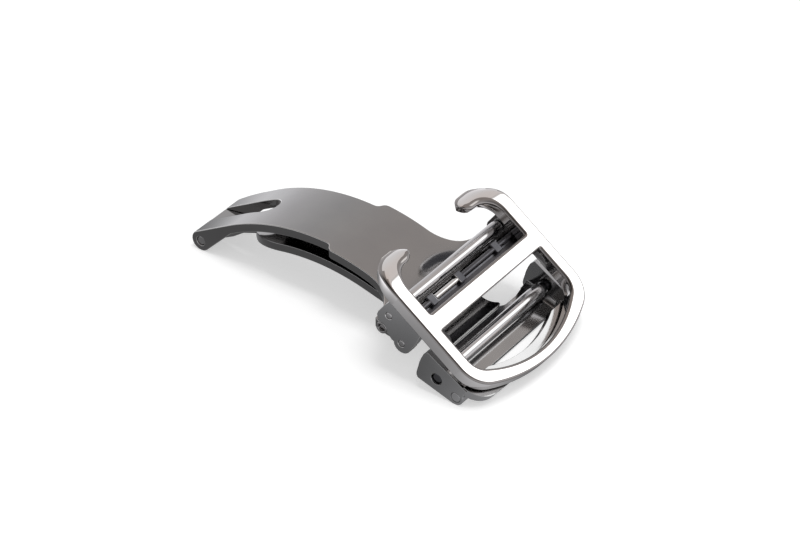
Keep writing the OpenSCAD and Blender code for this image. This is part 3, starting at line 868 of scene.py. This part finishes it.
def pin_tree():
    """A pin along Y with two rounded ends, or a row of such pins."""
    last = PIN_POINTS - 1
    tree, given = new_tree("turned_pin", {
        "Radius": 0.0005, "Length": 0.01, "Rounding": 0.00006, "Sides": 64, "Copies": 1,
        "Spacing": 0.0, "Middle": (0.0, 0.0, 0.0)})
    line = add(tree, "GeometryNodeMeshLine", {"Count": PIN_POINTS})
    index = tree.nodes.new("GeometryNodeInputIndex").outputs[0]
    second = math_node(tree, "GREATER_THAN", index, last / 2)
    rank = math_node(tree, "MINIMUM", index, math_node(tree, "SUBTRACT", float(last), index))
    turn = math_node(tree, "MULTIPLY", rank, math.radians(90.0) / (PIN_POINTS / 2 - 1))
    inset = math_node(tree, "SUBTRACT", 1.0, math_node(tree, "COSINE", turn))
    inset = math_node(tree, "MULTIPLY", inset, given["Rounding"])
    reach = math_node(tree, "SUBTRACT", math_node(tree, "MULTIPLY", given["Length"], 0.5), inset)
    sign = math_node(tree, "MULTIPLY_ADD", second, 2.0, -1.0)
    y = math_node(tree, "MULTIPLY", reach, sign)
    spot = add(tree, "ShaderNodeCombineXYZ", {"Y": y})
    placed = add(tree, "GeometryNodeSetPosition", {0: line.outputs[0], "Position": spot.outputs[0]})
    path = add(tree, "GeometryNodeMeshToCurve", {0: placed.outputs[0]})
    less = math_node(tree, "SUBTRACT", 1.0, math_node(tree, "SINE", turn))
    radius = math_node(tree, "SUBTRACT", given["Radius"],
                       math_node(tree, "MULTIPLY", less, given["Rounding"]))
    circle = add(tree, "GeometryNodeCurvePrimitiveCircle", {
        "Resolution": given["Sides"], "Radius": 1.0})
    pin = add(tree, "GeometryNodeCurveToMesh", {
        "Curve": path.outputs[0], "Profile Curve": circle.outputs[0], "Scale": radius,
        "Fill Caps": True})
    apart = add(tree, "ShaderNodeCombineXYZ", {"Y": given["Spacing"]})
    row = add(tree, "GeometryNodeMeshLine", {
        "Count": given["Copies"], "Start Location": given["Middle"], "Offset": apart.outputs[0]})
    pins = add(tree, "GeometryNodeInstanceOnPoints", {
        "Points": row.outputs[0], "Instance": pin.outputs[0]})
    end_tree(tree, pins.outputs[0], given)
    return tree


turned_pin = pin_tree()
print(turned_pin.name, len(turned_pin.nodes), "nodes")

# %% Make the pins
def round_sizes(node):
    """Middle, radius and length of a round solid that lies along Y."""
    low, high = (Vector(corner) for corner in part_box(node))
    return (low + high) / 2, (high.z - low.z) / 2, high.y - low.y


for node, rounding in (("hinge_pin", 0.13), ("roller_pin", 0.10), ("blade_pin", 0.10),
                       ("tube_pin", 0.06)):
    middle, radius, length = round_sizes(node)
    piece = grow(node + "_turned", turned_pin, {
        "Radius": radius, "Length": length, "Rounding": rounding * MM,
        "Middle": tuple(middle)}, finish["pin_turned"])
    put_on(piece, node)

# %% The tail pins and the spring bar's tips
TAIL_PIN_LENGTH = 1.18 * MM
BAR_TIP_RADIUS = 0.60 * MM

middle, radius, length = round_sizes("tail_pins")
apart = length - TAIL_PIN_LENGTH
piece = grow("tail_pins_turned", turned_pin, {
    "Radius": radius, "Length": TAIL_PIN_LENGTH, "Rounding": 0.12 * MM, "Copies": 2,
    "Spacing": apart, "Middle": (middle.x, -apart / 2, middle.z)}, finish["side_polish"])
put_on(piece, "tail_pins")
# The bar's tips sit in the lugs' holes and take the very dark steel, a painted shade.
for node in ("bar_tip_near", "bar_tip_far"):
    middle, radius, length = round_sizes(node)
    piece = grow(node + "_turned", turned_pin, {
        "Radius": BAR_TIP_RADIUS, "Length": length, "Rounding": 0.16 * MM,
        "Middle": tuple(middle)}, finish["dark_pin"])
    put_on(piece, node)

# %% [markdown]
# ## Tubes
# The strap roller, the stop tube and the spring bar's barrel are lengths of tube. Each is one small
# shape, a rectangle with rounded corners, swept round a circle, as it would be turned on a lathe.

# %% The tree of a tube
def tube_tree():
    """A tube along Y with rounded rims."""
    tree, given = new_tree("turned_tube", {
        "Radius": 0.0008, "Bore": 0.0004, "Length": 0.02, "Rounding": 0.00006, "Sides": 72,
        "Middle": (0.0, 0.0, 0.0)})
    wall = math_node(tree, "SUBTRACT", given["Radius"], given["Bore"])
    mean = math_node(tree, "MULTIPLY", math_node(tree, "ADD", given["Radius"], given["Bore"]), 0.5)
    section = add(tree, "GeometryNodeCurvePrimitiveQuadrilateral", {
        "Width": wall, "Height": given["Length"]})
    rounded = add(tree, "GeometryNodeFilletCurve", {
        "Curve": section.outputs[0], "Count": 4, "Radius": given["Rounding"],
        "Limit Radius": True}, mode="POLY")
    circle = add(tree, "GeometryNodeCurvePrimitiveCircle", {
        "Resolution": given["Sides"], "Radius": mean})
    tube = add(tree, "GeometryNodeCurveToMesh", {
        "Curve": circle.outputs[0], "Profile Curve": rounded.outputs[0]})
    laid = add(tree, "GeometryNodeTransform", {
        "Geometry": tube.outputs[0], "Translation": given["Middle"],
        "Rotation": (math.radians(90.0), 0.0, 0.0)})
    end_tree(tree, laid.outputs[0], given)
    return tree


turned_tube = tube_tree()
print(turned_tube.name, len(turned_tube.nodes), "nodes")

# %% Make the tubes
for node, bore, surface in (("strap_roller", 0.45, "pin_turned"), ("stop_tube", 0.42, "satin"),
                            ("bar_barrel", 0.66, "pin_turned")):
    middle, radius, length = round_sizes(node)
    piece = grow(node + "_turned", turned_tube, {
        "Radius": radius, "Bore": bore * MM, "Length": length, "Rounding": 0.10 * MM,
        "Middle": tuple(middle)}, finish[surface])
    put_on(piece, node)

# %% [markdown]
# ## The spring
# Inside the barrel a close spring of thin wire pushes the two tips apart. A spring is a helix, so
# the tree draws a spiral that keeps its radius and sweeps a small circle along it.

# %% The tree of the spring
def spring_tree():
    """A close coil of wire along Y."""
    tree, given = new_tree("wound_spring", {
        "Coil radius": 0.0005, "Wire radius": 0.00012, "Length": 0.008, "Turns": 30.0,
        "Middle": (0.0, 0.0, 0.0)})
    coil = add(tree, "GeometryNodeCurveSpiral", {
        "Resolution": 20, "Rotations": given["Turns"], "Start Radius": given["Coil radius"],
        "End Radius": given["Coil radius"], "Height": given["Length"]})
    wire = add(tree, "GeometryNodeCurvePrimitiveCircle", {
        "Resolution": 8, "Radius": given["Wire radius"]})
    wound = add(tree, "GeometryNodeCurveToMesh", {
        "Curve": coil.outputs[0], "Profile Curve": wire.outputs[0], "Fill Caps": True})
    middled = math_node(tree, "MULTIPLY", given["Length"], 0.5)
    back = add(tree, "ShaderNodeCombineXYZ", {"Y": middled})
    shift = vector_node(tree, "ADD", given["Middle"], back.outputs[0])
    laid = add(tree, "GeometryNodeTransform", {
        "Geometry": wound.outputs[0], "Translation": shift,
        "Rotation": (math.radians(90.0), 0.0, 0.0)})
    end_tree(tree, laid.outputs[0], given)
    return tree


wound_spring = spring_tree()
print(wound_spring.name, len(wound_spring.nodes), "nodes")

# %% Make the spring
WIRE_RADIUS = 0.12 * MM
COIL_RADIUS = 0.52 * MM
TURNS = 33.0

middle, radius, length = round_sizes("bar_spring")
spring = grow("bar_spring_wound", wound_spring, {
    "Coil radius": COIL_RADIUS, "Wire radius": WIRE_RADIUS, "Length": length - 2 * WIRE_RADIUS,
    "Turns": TURNS, "Middle": tuple(middle)}, finish["spring_wire"])
put_on(spring, "bar_spring")

# %% [markdown]
# ## The toothed comb
# Under the cross bar lies a bar that grips the strap: a flat back, three teeth and a round bead
# that catches the light. The tree makes one tooth and sets it on three points. Teeth and back are
# each drawn as an end shape and pushed out to their length, and the bead is a circle swept along a
# line. The teeth stand a little over the bead, so they part its bright line. The comb takes a very
# dark steel, a painted shade, and the upper side of one stretch of the bead, between two of the
# teeth, a bright steel, a painted highlight.

# %% A prism from its end shape
def slab(tree, corners, length):
    """A prism along Y from four corners, each a pair of u and w in millimetres."""
    names = {f"Point {i + 1}": (u * MM, w * MM, 0.0) for i, (u, w) in enumerate(corners)}
    end = add(tree, "GeometryNodeCurvePrimitiveQuadrilateral", names, mode="POINTS")
    face = add(tree, "GeometryNodeFillCurve", {0: end.outputs[0]}, mode="NGONS")
    push = add(tree, "ShaderNodeCombineXYZ", {"Z": length})
    pulled = add(tree, "GeometryNodeExtrudeMesh", {
        "Mesh": face.outputs[0], "Offset": push.outputs[0], "Offset Scale": 1.0,
        "Individual": False})
    back = add(tree, "GeometryNodeFlipFaces", {0: face.outputs[0]})
    joined = tree.nodes.new("GeometryNodeJoinGeometry")
    for part in (pulled.outputs[0], back.outputs[0]):
        tree.links.new(part, joined.inputs[0])
    whole = add(tree, "GeometryNodeMergeByDistance", {0: joined.outputs[0], "Distance": 1e-7})
    half = add(tree, "ShaderNodeCombineXYZ", {"Y": math_node(tree, "MULTIPLY", length, 0.5)})
    laid = add(tree, "GeometryNodeTransform", {
        "Geometry": whole.outputs[0], "Translation": half.outputs[0],
        "Rotation": (math.radians(90.0), 0.0, 0.0)})
    return laid.outputs[0]


print("prism helper", slab.__name__)

# %% The tree of the comb
BEAD_U = -2.1
BEAD_W = -2.06
BEAD_RADIUS = 0.36
TOOTH_END = ((-2.78, -2.42), (-1.48, -2.42), (-1.48, -1.64), (-2.78, -1.74))
BACK_END = ((-1.6, -2.42), (0.2, -2.42), (0.2, -1.72), (-1.6, -2.12))
WEB_END = ((-2.1, -2.42), (-1.4, -2.42), (-1.4, -2.12), (-2.1, -2.12))


def comb_tree():
    """The back, the web, the bead and three teeth, laid in the frame's plane."""
    tree, given = new_tree("toothed_comb", {
        "Length": 0.0192, "Tooth width": 0.00106, "Near tooth": -0.00604, "Middle tooth": -0.0009,
        "Far tooth": 0.0061, "Bead radius": BEAD_RADIUS * MM})
    tooth = slab(tree, TOOTH_END, given["Tooth width"])
    line = add(tree, "GeometryNodeMeshLine", {"Count": 3})
    index = tree.nodes.new("GeometryNodeInputIndex").outputs[0]
    pick = tree.nodes.new("GeometryNodeIndexSwitch")
    pick.data_type = "FLOAT"
    pick.index_switch_items.new()
    tree.links.new(index, pick.inputs[0])
    for i, label in enumerate(("Near tooth", "Middle tooth", "Far tooth")):
        tree.links.new(given[label], pick.inputs[i + 1])
    spot = add(tree, "ShaderNodeCombineXYZ", {"Y": pick.outputs[0]})
    placed = add(tree, "GeometryNodeSetPosition", {0: line.outputs[0], "Position": spot.outputs[0]})
    teeth = add(tree, "GeometryNodeInstanceOnPoints", {"Points": placed.outputs[0], "Instance": tooth})
    back = slab(tree, BACK_END, given["Length"])
    web = slab(tree, WEB_END, given["Length"])
    half = math_node(tree, "MULTIPLY", given["Length"], 0.5)
    ends = [add(tree, "ShaderNodeCombineXYZ", {"X": BEAD_U * MM, "Y": y, "Z": BEAD_W * MM}).outputs[0]
            for y in (math_node(tree, "MULTIPLY", half, -1.0), half)]
    path = add(tree, "GeometryNodeCurvePrimitiveLine", {"Start": ends[0], "End": ends[1]})
    circle = add(tree, "GeometryNodeCurvePrimitiveCircle", {
        "Resolution": 40, "Radius": given["Bead radius"]})
    path = add(tree, "GeometryNodeResampleCurve", {"Curve": path.outputs[0], "Count": 33})
    bead = add(tree, "GeometryNodeCurveToMesh", {
        "Curve": path.outputs[0], "Profile Curve": circle.outputs[0], "Fill Caps": True})
    joined = tree.nodes.new("GeometryNodeJoinGeometry")
    for part in (teeth.outputs[0], back, web, bead.outputs[0]):
        tree.links.new(part, joined.inputs[0])
    laid = add(tree, "GeometryNodeTransform", {
        "Geometry": joined.outputs[0], "Translation": tuple(FRAME_AT * MM),
        "Rotation": (0.0, TILT, 0.0)})
    end_tree(tree, laid.outputs[0], given)
    return tree


toothed_comb = comb_tree()
print(toothed_comb.name, len(toothed_comb.nodes), "nodes")

# %% Make the comb
HIGHLIGHT_FROM = -5.6
HIGHLIGHT_TO = -1.3
HIGHLIGHT_ABOVE = -2.1

# The comb lies under the cross bar and takes the very dark steel, a painted shade; its rounded edges
# take a painted highlight.
comb = grow("clamp_comb_toothed", toothed_comb, {}, finish["dark_pin"])
comb.data.materials.append(finish["edge_highlight"])
comb.data.materials.append(finish["bead"])
round_edges(comb, 0.10, edge_slot=1)
# The upper side of one stretch of the bead takes the bright steel, a painted highlight.
for face in comb.data.polygons:
    u, v, w = frame_place(face.center)
    on_bead = abs(math.hypot(u - BEAD_U, w - BEAD_W) - BEAD_RADIUS) < 0.02
    if on_bead and w > HIGHLIGHT_ABOVE and HIGHLIGHT_FROM < v < HIGHLIGHT_TO:
        face.material_index = 2
put_on(comb, "clamp_comb")
